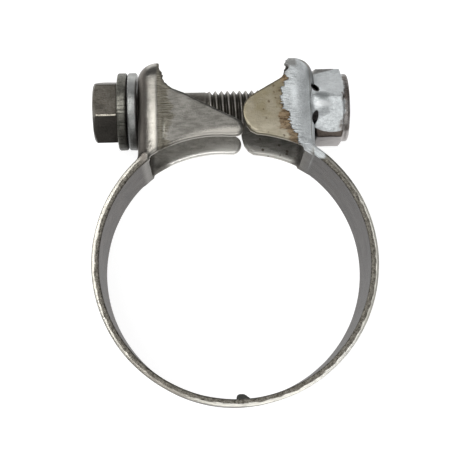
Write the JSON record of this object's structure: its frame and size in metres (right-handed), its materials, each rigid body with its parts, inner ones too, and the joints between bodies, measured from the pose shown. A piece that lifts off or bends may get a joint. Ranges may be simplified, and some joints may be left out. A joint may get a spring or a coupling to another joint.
{
  "type": "bolted band clamp",
  "caption": "Sheet steel band clamp for a round pipe: a ring with two pressed ears, drawn together by a hex bolt through washers into a nut welded to one ear.",
  "frame": {"origin": "on the axis of the pipe that the closed band holds, halfway across the band's width", "axes": "+Z along the pipe's axis, the way the pipe leaves; +Y from the pipe's axis towards the bolt; +X along the bolt from its head to the nut"},
  "size_m": [0.0561, 0.0698, 0.02],
  "materials": {
    "band_steel": "worn satin",
    "dark_lug": "matte",
    "bolt_steel": "dull, oxidised",
    "dark_washer_steel": "dull, oxidised",
    "zinc_washer_steel": "dull zinc plating",
    "zinc_paint": "brushed-on zinc paint"
  },
  "bodies": {
    "right_half": {"band_right": "band_steel", "locating_lug": "dark_lug", "weld_nut": "zinc_paint", "weld_bead_front": "zinc_paint", "weld_bead_back": "zinc_paint"},
    "left_half": {"band_left": "band_steel"},
    "inner_washer": {"inner_washer": "zinc_washer_steel"},
    "outer_washer": {"outer_washer": "dark_washer_steel"},
    "bolt": {"bolt": "bolt_steel"}
  },
  "joints": [
    {"name": "bolt_travel", "type": "slide", "parent": "right_half", "child": "inner_washer", "axis": [1, 0, 0], "range_m": [-0.00375, 0]},
    {"name": "bolt_turn", "type": "hinge", "parent": "inner_washer", "child": "bolt", "pos_m": [-0.02307, 0.0329, 0], "axis": [1, 0, 0], "range_deg": [-1080, 0]},
    {"name": "outer_washer_spin", "type": "hinge", "parent": "inner_washer", "child": "outer_washer", "pos_m": [-0.0221, 0.0329, 0], "axis": [1, 0, 0], "continuous": true},
    {"name": "band_flex", "type": "hinge", "parent": "right_half", "child": "left_half", "pos_m": [0, -0.028, 0], "axis": [0, 0, 1], "range_deg": [0, 3.25]}
  ],
  "couplings": [
    {"joint": "bolt_turn", "follows": "bolt_travel", "rad_per_m": 5026.5},
    {"joint": "band_flex", "follows": "bolt_travel", "rad_per_m": -15.125}
  ]
}
